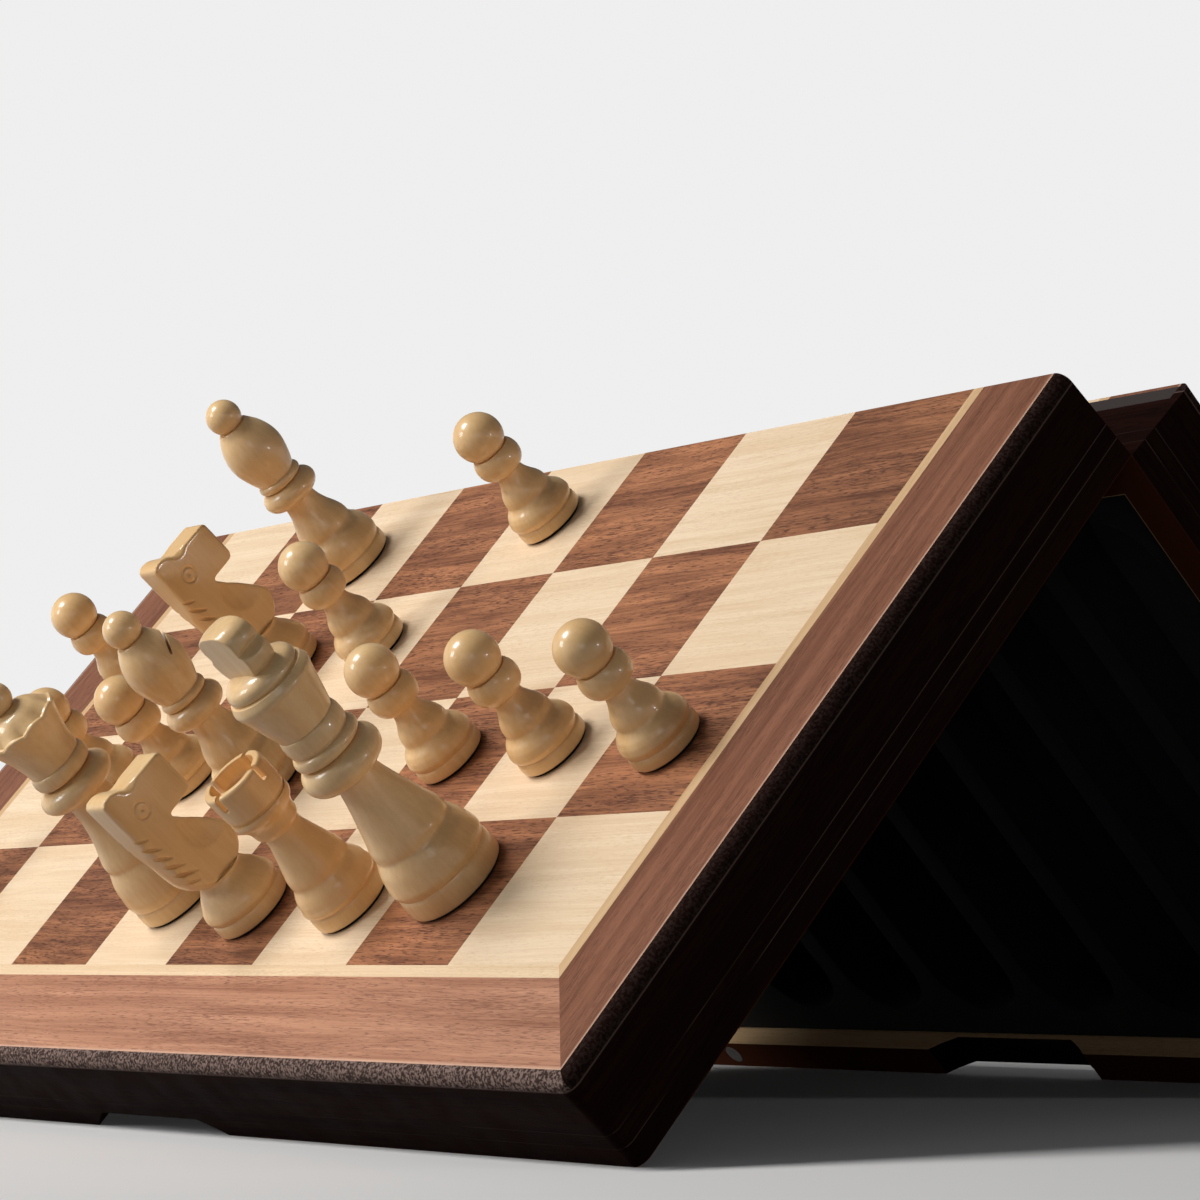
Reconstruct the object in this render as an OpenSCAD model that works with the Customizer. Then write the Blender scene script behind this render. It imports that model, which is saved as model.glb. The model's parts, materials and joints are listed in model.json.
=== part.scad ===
// Folding chess case: two equal trays, hinged at the rim, that open into a playing board.
// It stands here opened as a tent, with one side's chessmen held on the front slope by their magnets.
// The origin is at the bottom centre of the whole set; +X runs along the hinge, the front half faces -Y.

/* [Board] */
// Side of one square
square = 40.5; // [34:0.5:50]
// Width of the pale line round the squares
stringing_w = 3.2; // [2:0.1:5]
// Width of the walnut border outside the pale line
border_w = 22.3; // [14:0.1:30]
// Width of the dark lip outside the border, which is also the radius of its rounded edge
lip_w = 3; // [2:0.5:4]

/* [Case] */
// Depth of one half, from its playing surface to its rim
half_depth = 24.5; // [22:0.5:40]
// Thickness of the four rails
rail_t = 9.5; // [9:0.5:14]
// Angle between the two halves as the case stands
tent_angle = 85.5; // [60:0.5:110]
// Radius of the upright outer corners
corner_r = 3; // [1:0.5:5]
// Gap left between the two rims when the case is shut
rim_gap = 0.1; // [0.05:0.05:0.5]

/* [Layers under the playing surface] */
// Thickness of the veneer squares, line and border
veneer_t = 1; // [0.6:0.1:2]
// Thickness of the steel sheet that the magnets pull on
sheet_t = 0.5; // [0.3:0.1:1]
// Margin between the steel sheet and the edge of the squares
sheet_margin = 1; // [0:0.5:5]
// Thickness of the board panel
panel_t = 4; // [3:0.5:6]

/* [Insert] */
// Thickness of the foam insert
insert_t = 13.5; // [9:0.5:18]
// Gap between the insert and the rails
insert_gap = 0.3; // [0.2:0.1:1]
// Number of storage slots in each half
slot_count = 9; // [6:1:9]
// Width of a slot
slot_w = 30; // [20:0.5:32]
// Foam left beside the first and the last slot
slot_side = 11.7; // [4:0.1:20]
// Foam left at both ends of a slot
slot_end = 9; // [5:0.5:20]

/* [Thumb notch] */
// Length of the notch at the rim
notch_mouth = 63; // [56:1:90]
// Length of the notch at its top
notch_top = 46; // [20:1:54]
// Depth of the notch
notch_depth = 5; // [3:0.5:8]

/* [Hinges] */
// Distance of each hinge's middle from the end of the case
hinge_inset = 78.5; // [60:0.5:110]
// Length of a hinge
hinge_l = 50; // [40:1:70]
// Rail left between a leaf and the rail's inner face
leaf_edge = 1.3; // [1:0.1:2]
// Thickness of a leaf
leaf_t = 1.2; // [1:0.1:1.6]
// Radius of the knuckles
knuckle_r = 2.2; // [2:0.1:3]
// Radius of the hinge pin
pin_r = 0.9; // [0.7:0.1:1.2]
// Running clearance round the pin
pin_gap = 0.05; // [0.02:0.01:0.1]
// Gap between neighbouring knuckles, and round the barrel
knuckle_gap = 0.3; // [0.2:0.1:0.5]
// Distance between the screws of a leaf
screw_pitch = 18; // [14:1:20]
// Radius of a screw's head
screw_head_r = 1.9; // [1.6:0.1:2.2]
// Radius of a screw's shank
screw_r = 1; // [0.8:0.1:1.2]
// Length of a screw
screw_l = 9; // [6:0.5:12]

/* [Closing magnets] */
// Distance of each closing magnet from the end of the case
closer_inset = 65.5; // [50:0.5:110]
// Radius of a closing magnet
closer_r = 3; // [2:0.5:4]
// Thickness of a closing magnet
closer_t = 3; // [2:0.5:5]

/* [Chessmen] */
// Thickness of the felt under each piece
felt_t = 0.8; // [0.5:0.1:1.5]
// Thickness of the magnet in each base
magnet_t = 2.5; // [2:0.1:4]
// Radius of the magnet in each base
magnet_r = 5; // [3:0.5:6]
// Height of the king
king_h = 77; // [60:1:90]
// Height of the queen
queen_h = 70.3; // [56:0.1:80]
// Height of a bishop
bishop_h = 57.9; // [46:0.1:67]
// Height of a knight
knight_h = 46; // [37:0.5:55]
// Height of a rook
rook_h = 40.8; // [33:0.1:48]
// Height of a pawn
pawn_h = 34.7; // [28:0.1:41]

/* [Hidden] */
$fn = 64;

// Where each piece stands: squares from the left edge of the board, and from the hinge
king_at = [6.5, 3.43];
queen_at = [3.54, 3.44];
bishop_c_at = [2.34, 0.59];
bishop_d_at = [3.53, 2.58];
knight_c_at = [2.56, 1.54];
knight_e_at = [4.56, 3.59];
rook_a_at = [0.5, 3.5];
rook_f_at = [5.6, 3.56];
pawn_a_at = [0.63, 1.56];
pawn_b_at = [1.5, 2.5];
pawn_c_at = [2.47, 2.48];
pawn_d_at = [3.55, 1.46];
pawn_e_at = [4.52, 0.51];
pawn_f_at = [5.49, 2.5];
pawn_g_at = [6.51, 2.5];
pawn_h_at = [7.56, 2.53];

// The board, seen from above with its middle at the hinge
files = 8;
ranks = 4;
play_x = files * square / 2;
play_y = ranks * square;
line_x = play_x + stringing_w;
line_y = play_y + stringing_w;
border_x = line_x + border_w;
border_y = line_y + border_w;
case_x = border_x + lip_w;
case_y = border_y + lip_w;

// Heights in one half, from its rim at 0 to its playing surface
veneer_z = half_depth - veneer_t;
panel_z = veneer_z - panel_t;
insert_z = panel_z - insert_t;

// How far a cutting shape runs past the face that it cuts
cut = 1;
// Half the gap between two pieces of veneer, or two blocks of foam
seam = 0.01;

// The half's tilt as it stands, and the hinge's axis, below the rim in a half and above the ground
tilt = (180 - tent_angle) / 2;
axis_z = -rim_gap / 2;
hinge_h = case_y * sin(tilt) + axis_z * cos(tilt);

// The insert and its slots
insert_x = case_x - rail_t - insert_gap;
insert_y0 = rail_t + insert_gap;
insert_y1 = case_y - rail_t - insert_gap;
slot_y0 = insert_y0 + slot_end;
slot_y1 = insert_y1 - slot_end;
slot_pitch = (2 * (insert_x - slot_side) - slot_w) / (slot_count - 1);

// The hinges, and the clearances round what is let into the rails
hinge_x = case_x - hinge_inset;
leaf_w = rail_t - leaf_edge;
knuckle_l = (hinge_l - 2 * knuckle_gap) / 3;
barrel_r = knuckle_r + knuckle_gap;
screw_y = (barrel_r + leaf_w) / 2;
leaf_gap = 0.1;
screw_gap = 0.1;
closer_x = case_x - closer_inset;
magnet_gap = 0.1;

// A base's groove, how far its lower ring's edges are rounded off, and the felt's inset from there
groove_r = 0.5;
foot_in = 0.15;
felt_inset = 0.6;

// The sizes that the turned profiles below are drawn at
king_drawn_h = 77;
queen_drawn_h = 70.3;
bishop_drawn_h = 57.9;
knight_drawn_h = 46;
rook_drawn_h = 40.8;
pawn_drawn_h = 34.7;
king_base_r = 12;
queen_base_r = 12;
bishop_base_r = 10.3;
knight_base_r = 9.9;
rook_base_r = 9.7;
pawn_base_r = 8.6;

king_k = king_h / king_drawn_h;
queen_k = queen_h / queen_drawn_h;
bishop_k = bishop_h / bishop_drawn_h;
knight_k = knight_h / knight_drawn_h;
rook_k = rook_h / rook_drawn_h;
pawn_k = pawn_h / pawn_drawn_h;

// The king's head reaches furthest forward, and the rear half's upper edge furthest back
king_reach = king_at[1] * square * cos(tilt) + half_depth * sin(tilt)
    + king_k * max([for (p = king_cross_outline()) p[0] * cos(tilt) + p[1] * sin(tilt)]);
case_reach = case_y * cos(tilt) + half_depth * sin(tilt);
origin_y = (max(king_reach, case_reach) - case_reach) / 2;

// A rounded bead, as points of radius and height, from z0 up to z1
function bead(z0, z1, r0, r1, n = 8) = [
    for (i = [0:n]) [r0 + (r1 - r0) * sin(180 * i / n), z0 + (z1 - z0) * (1 - cos(180 * i / n)) / 2]
];

// One point of a smooth curve between b and c, with a before it and d after it
function blend(a, b, c, d, t) = (2 * b + (c - a) * t + (2 * a - 5 * b + 4 * c - d) * t * t
    + (3 * b - a - 3 * c + d) * t * t * t) / 2;

// A smooth curve through a list of points
function curve(k, n = 3) = [
    for (i = [0:len(k) - 2], j = [0:n - 1])
        blend(k[max(i - 1, 0)], k[i], k[i + 1], k[min(i + 2, len(k) - 1)], j / n),
    k[len(k) - 1]
];

// A turned solid from points of radius and height, closed along the axis
module turned(outline) {
    last = len(outline) - 1;
    rotate_extrude()
        polygon(concat([[0, outline[0][1]]], outline, [[0, outline[last][1]]]));
}

// Places a part of a half, drawn flat with its rim on z = 0 and its hinge edge on y = 0
module front_half() {
    translate([0, origin_y, hinge_h]) rotate([tilt, 0, 0]) translate([0, 0, -axis_z]) children();
}

module rear_half() {
    translate([0, origin_y, hinge_h]) rotate([0, 0, 180]) rotate([tilt, 0, 0])
        translate([0, 0, -axis_z]) children();
}

// Stands a piece on the front half's playing surface
module standing(at, turn = 0) {
    front_half()
        translate([at[0] * square - play_x, -at[1] * square, half_depth])
            rotate([0, 0, turn]) children();
}

// Rails

// A rail's section, with y across the rail from its outer face: body, then the rounded lip above it
module rail_section() {
    square([rail_t, panel_z]);
    intersection() {
        square([lip_w, half_depth]);
        union() {
            square([lip_w, half_depth - lip_w]);
            translate([lip_w, half_depth - lip_w]) circle(r = lip_w);
        }
    }
}

// The ground that the outer rail covers, between its two mitres, which run on past the corners
module corner_wedge() {
    linear_extrude(half_depth + cut)
        polygon([
            [-case_x - cut, -case_y - cut], [case_x + cut, -case_y - cut],
            [case_x - rail_t, rail_t - case_y], [rail_t - case_x, rail_t - case_y]
        ]);
}

// The ground that the hinge rail covers, between its two mitres
module hinge_wedge() {
    linear_extrude(panel_z)
        polygon([[-case_x, 0], [case_x, 0], [case_x - rail_t, -rail_t], [rail_t - case_x, -rail_t]]);
}

// Everything within the case's outline, with its outer corners rounded
module within_outline() {
    intersection() {
        children();
        linear_extrude(half_depth + cut) {
            translate([-case_x, -case_y + corner_r]) square([2 * case_x, case_y - corner_r]);
            translate([corner_r - case_x, -case_y]) square([2 * (case_x - corner_r), case_y]);
            for (s = [-1, 1])
                translate([s * (case_x - corner_r), corner_r - case_y]) circle(r = corner_r);
        }
    }
}

module thumb_notch() {
    translate([0, cut - case_y + rail_t, 0]) rotate([90, 0, 0]) linear_extrude(rail_t + 2 * cut)
        polygon([
            [-notch_mouth / 2, -cut], [-notch_mouth / 2, 0],
            for (p = curve([
                [-notch_mouth / 2, 0], [-(notch_mouth + notch_top) / 4 - 1, notch_depth * 0.45],
                [-notch_top / 2, notch_depth]
            ])) p,
            for (p = curve([
                [notch_top / 2, notch_depth], [(notch_mouth + notch_top) / 4 + 1, notch_depth * 0.45],
                [notch_mouth / 2, 0]
            ])) p,
            [notch_mouth / 2, -cut]
        ]);
}

module closer_places() {
    for (s = [-1, 1]) translate([s * closer_x, rail_t / 2 - case_y, 0]) children();
}

module outer_rail() {
    color("#1c0d0b") difference() {
        within_outline() intersection() {
            translate([-case_x, -case_y, 0]) rotate([90, 0, 90]) linear_extrude(2 * case_x) rail_section();
            corner_wedge();
        }
        thumb_notch();
        closer_places() translate([0, 0, -cut])
            cylinder(r = closer_r + magnet_gap, h = closer_t + magnet_gap + cut);
    }
}

module end_rail(side) {
    within_outline() difference() {
        translate([side * case_x, 0, 0]) rotate([90, 0, 0])
            linear_extrude(case_y) scale([-side, 1, 1]) rail_section();
        corner_wedge();
        hinge_wedge();
    }
}

module end_rails() {
    color("#1c0d0b") {
        end_rail(-1);
        end_rail(1);
    }
}

// The recess in a hinge rail for one hinge: its leaf, its barrel and its screws
module hinge_recess() {
    for (s = [-1, 1]) translate([s * hinge_x, 0, 0]) {
        translate([-hinge_l / 2 - leaf_gap, -leaf_w - leaf_gap, -cut])
            cube([hinge_l + 2 * leaf_gap, leaf_w + leaf_gap + cut, cut + leaf_t]);
        translate([-hinge_l / 2 - leaf_gap, 0, axis_z]) rotate([0, 90, 0])
            cylinder(r = barrel_r, h = hinge_l + 2 * leaf_gap);
        screw_places() cylinder(r = screw_r + screw_gap, h = screw_l + screw_gap);
    }
}

module screw_places() {
    for (i = [-1:1]) translate([i * screw_pitch, -screw_y, 0]) children();
}

module hinge_rail() {
    color("#1c0d0b") difference() {
        hinge_wedge();
        hinge_recess();
    }
}

// Board layers

module board_panel() {
    color("#8f7352") difference() {
        translate([-border_x, -border_y, panel_z]) cube([2 * border_x, border_y, panel_t]);
        translate([sheet_margin - play_x, sheet_margin - play_y, veneer_z - sheet_t])
            cube([2 * (play_x - sheet_margin), play_y - 2 * sheet_margin, sheet_t + cut]);
    }
}

module steel_sheet() {
    color("#8a8c8e") translate([sheet_margin - play_x, sheet_margin - play_y, veneer_z - sheet_t])
        cube([2 * (play_x - sheet_margin), play_y - 2 * sheet_margin, sheet_t]);
}

// The squares of one wood: shade 0 has the squares next to the hinge on the left, shade 1 the others
module squares(shade) {
    for (f = [0:files - 1], r = [0:ranks - 1])
        if ((f + r) % 2 == shade)
            translate([f * square - play_x + seam, -(r + 1) * square + seam, veneer_z])
                cube([square - 2 * seam, square - 2 * seam, veneer_t]);
}

module maple_squares() {
    color("#e8d2ae") squares(0);
}

module walnut_squares() {
    color("#92604a") squares(1);
}

// Three mitred strips round the squares, from one outline to the next
module mitred_strips(x0, y0, x1, y1) {
    translate([0, 0, veneer_z]) linear_extrude(veneer_t) {
        for (s = [-1, 1])
            polygon([[s * x0, 0], [s * x1, 0], [s * x1, -y1 + seam], [s * x0, -y0 + seam]]);
        polygon([[-x0, -y0], [x0, -y0], [x1, -y1], [-x1, -y1]]);
    }
}

module stringing() {
    color("#ecd3a8") mitred_strips(play_x, play_y, line_x, line_y);
}

module walnut_border() {
    color("#a06a54") mitred_strips(line_x, line_y, border_x, border_y);
}

// Foam insert with round-ended slots: a straight bar between each two slots, and a block across each end

function slot_x(i) = (i - (slot_count - 1) / 2) * slot_pitch;

module foam_bars() {
    y0 = slot_y0 + slot_w / 2 + seam;
    length = slot_y1 - slot_y0 - slot_w - 2 * seam;
    for (i = [0:slot_count]) {
        x0 = i == 0 ? -insert_x : slot_x(i - 1) + slot_w / 2;
        x1 = i == slot_count ? insert_x : slot_x(i) - slot_w / 2;
        translate([x0, -y0 - length]) square([x1 - x0, length]);
    }
}

// The block across one end, from y up, with the slots' round ends centred at round_y
module foam_end(y, round_y) {
    difference() {
        translate([-insert_x, y]) square([2 * insert_x, slot_end + slot_w / 2]);
        for (i = [0:slot_count - 1]) translate([slot_x(i), round_y]) circle(r = slot_w / 2);
    }
}

module foam_insert() {
    color("#141313") translate([0, 0, insert_z]) linear_extrude(insert_t) {
        foam_bars();
        foam_end(-slot_y0 - slot_w / 2, -slot_y0 - slot_w / 2);
        foam_end(-insert_y1, slot_w / 2 - slot_y1);
    }
}

module closing_magnets() {
    color("#55544f") closer_places() cylinder(r = closer_r, h = closer_t);
}

// Hinges: the front leaf has the two outer knuckles, the rear leaf the middle one

module knuckle(i) {
    translate([(i - 1) * (knuckle_l + knuckle_gap) - knuckle_l / 2, 0, axis_z]) rotate([0, 90, 0])
        cylinder(r = knuckle_r, h = knuckle_l);
}

module knuckle_room(i) {
    translate([(i - 1) * (knuckle_l + knuckle_gap) - knuckle_l / 2 - knuckle_gap, 0, axis_z])
        rotate([0, 90, 0]) cylinder(r = barrel_r, h = knuckle_l + 2 * knuckle_gap);
}

module hinge_leaves(own, other) {
    color("#b08d4a") for (s = [-1, 1]) translate([s * hinge_x, 0, 0]) difference() {
        union() {
            difference() {
                translate([-hinge_l / 2, -leaf_w, 0]) cube([hinge_l, leaf_w, leaf_t]);
                for (i = other) knuckle_room(i);
            }
            for (i = own) knuckle(i);
        }
        translate([-hinge_l / 2 - cut, 0, axis_z]) rotate([0, 90, 0])
            cylinder(r = pin_r + pin_gap, h = hinge_l + 2 * cut);
        screw_places() screw_shape(screw_gap);
    }
}

// A countersunk screw, pointing up from the rim
module screw_shape(gap = 0) {
    cylinder(r = screw_r + gap, h = screw_l + gap);
    cylinder(r1 = screw_head_r + gap, r2 = screw_r + gap, h = screw_head_r - screw_r);
}

module hinge_pins() {
    color("#b08d4a") for (s = [-1, 1]) translate([s * hinge_x - hinge_l / 2, 0, axis_z])
        rotate([0, 90, 0]) cylinder(r = pin_r, h = hinge_l);
}

module hinge_screws() {
    color("#b99a5b") for (s = [-1, 1]) translate([s * hinge_x, 0, 0]) screw_places() screw_shape();
}

// Chessmen: points of radius and height above the playing surface

// The two rings of every base, from the felt up to the shoulder at z1, for a profile scaled by k
function base_rings(r, z_groove, z1, k) =
    let (bottom = felt_t / k, foot = z_groove - bottom)
    concat(
        curve([
            [r - foot_in, bottom], [r, bottom + foot * 0.15],
            [r, bottom + foot * 0.6], [r - foot_in, z_groove - foot * 0.12]
        ]),
        [[r - groove_r, z_groove]],
        curve([[r - foot_in, z_groove + 0.5], [r + foot_in, (z_groove + z1) / 2], [r - 0.2, z1]])
    );

function pawn_outline() = concat(
    base_rings(pawn_base_r, 3.7, 6.7, pawn_k),
    curve([[8.1, 7.2], [7.2, 8.4], [6.2, 10.1], [5.8, 11.6], [4.7, 13.9], [3.8, 15.7], [3.45, 17.3]]),
    bead(17.6, 24.9, 3.5, 6.1)
);

function bishop_outline() = concat(
    base_rings(bishop_base_r, 4.2, 8.6, bishop_k),
    curve([
        [9.6, 9.8], [8.9, 11], [7.8, 12.6], [7.55, 14.4], [6.7, 16.9],
        [5.6, 19.2], [4.8, 21.6], [4.4, 24.2]
    ]),
    bead(24.5, 30.3, 4.8, 7.9),
    bead(30.4, 32.7, 5.4, 6.3),
    curve([
        [5.7, 33.1], [6.4, 34.8], [7.1, 36.9], [7.7, 39.4],
        [7.8, 41.8], [7.3, 44.4], [6.2, 47.1], [4.3, 50]
    ])
);

function rook_outline() = concat(
    base_rings(rook_base_r, 4.5, 6.9, rook_k),
    curve([
        [9.3, 8.2], [8.6, 9.8], [7.9, 11.8], [7.7, 13.6], [6.9, 15.8],
        [6.2, 18.2], [5.4, 20.6], [4.8, 22.8], [4.6, 24.6]
    ]),
    curve([[5, 25], [5.6, 26], [5.9, 27.8], [6.4, 28.9], [7.3, 30], [7.7, 31], [7.6, 32]]),
    [[7.2, 32.4]],
    curve([[7.6, 32.9], [7.75, 34.8], [7.8, 37.8], [7.8, 40], [7.4, 40.8]])
);

function queen_outline() = concat(
    base_rings(queen_base_r, 4.8, 9.6, queen_k),
    curve([
        [11.6, 11], [10.8, 13], [9.9, 15.6], [9.7, 18], [8.7, 20.6], [7.5, 23.6],
        [6.5, 27], [5.8, 30.6], [5.5, 35]
    ]),
    bead(35.4, 41.4, 6, 10),
    bead(42, 45.8, 6.9, 7.7),
    curve([[7, 46.2], [7.3, 48.8], [8, 52], [9.1, 55.4], [10.1, 57.9], [9.9, 58.6]]),
    curve([[9.2, 58.7], [8.4, 59.5], [7, 61], [5.2, 62.2], [3.4, 62.8]])
);

function king_outline() = concat(
    base_rings(king_base_r, 6, 9.6, king_k),
    curve([
        [11.4, 10.8], [10.7, 12.6], [9.9, 14.8], [9.65, 17], [8.7, 19.8], [7.3, 24.2],
        [6.1, 28.4], [5.3, 31.8], [5, 34]
    ]),
    bead(34.2, 41.2, 6.4, 9.8),
    bead(41.3, 44.4, 7, 8.2),
    bead(44.6, 49.2, 6.9, 7.5),
    curve([[7, 49.5], [7.6, 51.6], [8.4, 54.6], [9.2, 57.6], [9.8, 59.4], [9.8, 60.4], [9.2, 61.8]]),
    [[8.3, 62.1]],
    curve([[8.6, 62.5], [8.6, 63.4], [8, 64.6], [6.4, 65.6], [4.4, 66.2]])
);

function king_cross_outline() = concat(
    curve([[5.2, 64.6], [6.6, 66.4], [7.3, 68.8], [7.2, 70.6]]),
    curve([[6.6, 71.8], [6.8, 73.6], [6.2, 75.4], [4.4, 76.7], [1.6, 77]])
);

// The knight's base and the round blank that its head is carved from
function knight_base_outline() = concat(
    base_rings(knight_base_r, 4.1, 7.1, knight_k),
    curve([[9, 8.2], [8, 9.8], [6.8, 11.3], [6.1, 12.5], [6, 13.3]])
);

function knight_blank_outline() = curve([
    [5.9, 13], [6.9, 13.9], [8.3, 15.5], [9.4, 17.7], [9.9, 20.3], [10.4, 25.1], [11.3, 33.1], [11.6, 47.1]
]);

// A pocket in a base for its magnet
module with_magnet_pocket() {
    difference() {
        children();
        cylinder(r = magnet_r + magnet_gap, h = felt_t + magnet_t + 2 * magnet_gap);
    }
}

// The felt under a base and the magnet in its pocket, for a base drawn at base_r and scaled by k
module magnet(base_r, k) {
    color("#1a1917") cylinder(r = (base_r - foot_in) * k - felt_inset, h = felt_t);
    color("#1a1917") translate([0, 0, felt_t + magnet_gap]) cylinder(r = magnet_r, h = magnet_t);
}

module pawn() {
    ball_r = 6.2;
    color("#e0bd8c") with_magnet_pocket() scale(pawn_k) {
        turned(pawn_outline());
        translate([0, 0, pawn_drawn_h - ball_r]) sphere(r = ball_r);
    }
}

// The slanted cut in the mitre runs up and outwards from its floor, at slot_at in radius and height
module bishop() {
    ball_r = 4.6;
    slot = 0.7;
    slot_at = [4.5, 42.5];
    slot_lean = 27;
    color("#e0bd8c") with_magnet_pocket() scale(bishop_k) difference() {
        union() {
            turned(bishop_outline());
            translate([0, 0, bishop_drawn_h - ball_r]) sphere(r = ball_r);
        }
        translate([slot_at[0], 0, slot_at[1]]) rotate([0, slot_lean, 0])
            translate([-slot / 2, -bishop_base_r, 0]) cube([slot, 2 * bishop_base_r, bishop_base_r]);
    }
}

module rook() {
    bowl_r = 6;
    bowl_z = 36.4;
    slot = 1.3;
    slot_z = 37;
    color("#e0bd8c") with_magnet_pocket() scale(rook_k) difference() {
        turned(rook_outline());
        translate([0, 0, bowl_z]) cylinder(r = bowl_r, h = rook_drawn_h);
        for (a = [0, 90]) rotate([0, 0, a])
            translate([-rook_base_r, -slot / 2, slot_z]) cube([2 * rook_base_r, slot, rook_drawn_h]);
    }
}

// The scallops are cut into the coronet from above by round rods set like spokes
module queen() {
    scallops = 9;
    scallop_r = 2.6;
    scallop_at = [8.2, 60.4];
    ball_r = 4.1;
    color("#e0bd8c") with_magnet_pocket() scale(queen_k) {
        difference() {
            turned(queen_outline());
            for (i = [0:scallops - 1]) rotate([0, 0, (i + 0.5) * 360 / scallops])
                translate([scallop_at[0], 0, scallop_at[1]]) rotate([0, 90, 0])
                    cylinder(r = scallop_r, h = queen_base_r);
        }
        translate([0, 0, queen_drawn_h - ball_r]) sphere(r = ball_r);
    }
}

// The cross is turned with the piece and cut flat front and back, with a notch under each arm
module king() {
    thickness = 7;
    cross_z = 64;
    notch = 4.4;
    notch_at = [8.6, 71.2];
    color("#e0bd8c") with_magnet_pocket() scale(king_k) {
        turned(king_outline());
        difference() {
            intersection() {
                turned(king_cross_outline());
                translate([-king_base_r, -thickness / 2, cross_z])
                    cube([2 * king_base_r, thickness, king_drawn_h - cross_z + cut]);
            }
            for (s = [-1, 1]) translate([s * notch_at[0], 0, notch_at[1]]) rotate([0, 45, 0])
                cube([notch, thickness + 2 * cut, notch], center = true);
        }
    }
}

module knight() {
    cheek = 4.5;
    color("#e0bd8c") with_magnet_pocket() scale(knight_k) {
        turned(knight_base_outline());
        intersection() {
            turned(knight_blank_outline());
            translate([0, cheek, 0]) rotate([90, 0, 0]) linear_extrude(2 * cheek) polygon(concat(
                [[-10.8, 12.1], [-10.8, 44.3]],
                curve([[-10.6, 45.1], [-9.4, 45.9], [-7.2, 45.9], [-5.4, 45.1], [-4, 44]]),
                [[7.2, 43.9]],
                curve([[7.8, 43.5], [8.1, 42.7], [8.2, 38.1], [8.1, 33.9], [7.6, 32.7], [6.8, 32.2]]),
                [[-0.2, 32.1], [-0.3, 31.5]],
                curve([[1.6, 29.1], [4.4, 26.1], [7, 22.7], [8.8, 19.7], [9.6, 17.1], [9.6, 12.1]])
            ));
        }
    }
}

front_half() outer_rail();  // front_outer_rail
front_half() hinge_rail();  // front_hinge_rail
front_half() end_rails();  // front_end_rails
front_half() board_panel();  // front_board_panel
front_half() steel_sheet();  // front_steel_sheet
front_half() maple_squares();  // front_maple_squares
front_half() walnut_squares();  // front_walnut_squares
front_half() stringing();  // front_stringing
front_half() walnut_border();  // front_walnut_border
front_half() foam_insert();  // front_foam_insert
front_half() closing_magnets();  // front_closing_magnets
rear_half() outer_rail();  // rear_outer_rail
rear_half() hinge_rail();  // rear_hinge_rail
rear_half() end_rails();  // rear_end_rails
rear_half() board_panel();  // rear_board_panel
rear_half() steel_sheet();  // rear_steel_sheet
rear_half() maple_squares();  // rear_maple_squares
rear_half() walnut_squares();  // rear_walnut_squares
rear_half() stringing();  // rear_stringing
rear_half() walnut_border();  // rear_walnut_border
rear_half() foam_insert();  // rear_foam_insert
rear_half() closing_magnets();  // rear_closing_magnets
front_half() hinge_leaves([0, 2], [1]);  // front_hinge_leaves
rear_half() hinge_leaves([1], [0, 2]);  // rear_hinge_leaves
front_half() hinge_pins();
front_half() hinge_screws();  // front_hinge_screws
rear_half() hinge_screws();  // rear_hinge_screws
standing(king_at) king();
standing(queen_at, 12) queen();
standing(bishop_c_at, 160) bishop();  // bishop_c
standing(bishop_d_at, 67) bishop();  // bishop_d
standing(knight_c_at, 90) knight();  // knight_c
standing(knight_e_at, 90) knight();  // knight_e
standing(rook_a_at, 30) rook();  // rook_a
standing(rook_f_at, 17) rook();  // rook_f
standing(pawn_a_at) pawn();  // pawn_a
standing(pawn_b_at) pawn();  // pawn_b
standing(pawn_c_at) pawn();  // pawn_c
standing(pawn_d_at) pawn();  // pawn_d
standing(pawn_e_at) pawn();  // pawn_e
standing(pawn_f_at) pawn();  // pawn_f
standing(pawn_g_at) pawn();  // pawn_g
standing(pawn_h_at) pawn();  // pawn_h
standing(king_at) magnet(king_base_r, king_k);  // king_magnet
standing(queen_at) magnet(queen_base_r, queen_k);  // queen_magnet
standing(bishop_c_at) magnet(bishop_base_r, bishop_k);  // bishop_c_magnet
standing(bishop_d_at) magnet(bishop_base_r, bishop_k);  // bishop_d_magnet
standing(knight_c_at) magnet(knight_base_r, knight_k);  // knight_c_magnet
standing(knight_e_at) magnet(knight_base_r, knight_k);  // knight_e_magnet
standing(rook_a_at) magnet(rook_base_r, rook_k);  // rook_a_magnet
standing(rook_f_at) magnet(rook_base_r, rook_k);  // rook_f_magnet
standing(pawn_a_at) magnet(pawn_base_r, pawn_k);  // pawn_a_magnet
standing(pawn_b_at) magnet(pawn_base_r, pawn_k);  // pawn_b_magnet
standing(pawn_c_at) magnet(pawn_base_r, pawn_k);  // pawn_c_magnet
standing(pawn_d_at) magnet(pawn_base_r, pawn_k);  // pawn_d_magnet
standing(pawn_e_at) magnet(pawn_base_r, pawn_k);  // pawn_e_magnet
standing(pawn_f_at) magnet(pawn_base_r, pawn_k);  // pawn_f_magnet
standing(pawn_g_at) magnet(pawn_base_r, pawn_k);  // pawn_g_magnet
standing(pawn_h_at) magnet(pawn_base_r, pawn_k);  // pawn_h_magnet
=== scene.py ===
import json
import math

import bmesh
import bpy
from mathutils import Matrix, Vector


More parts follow.
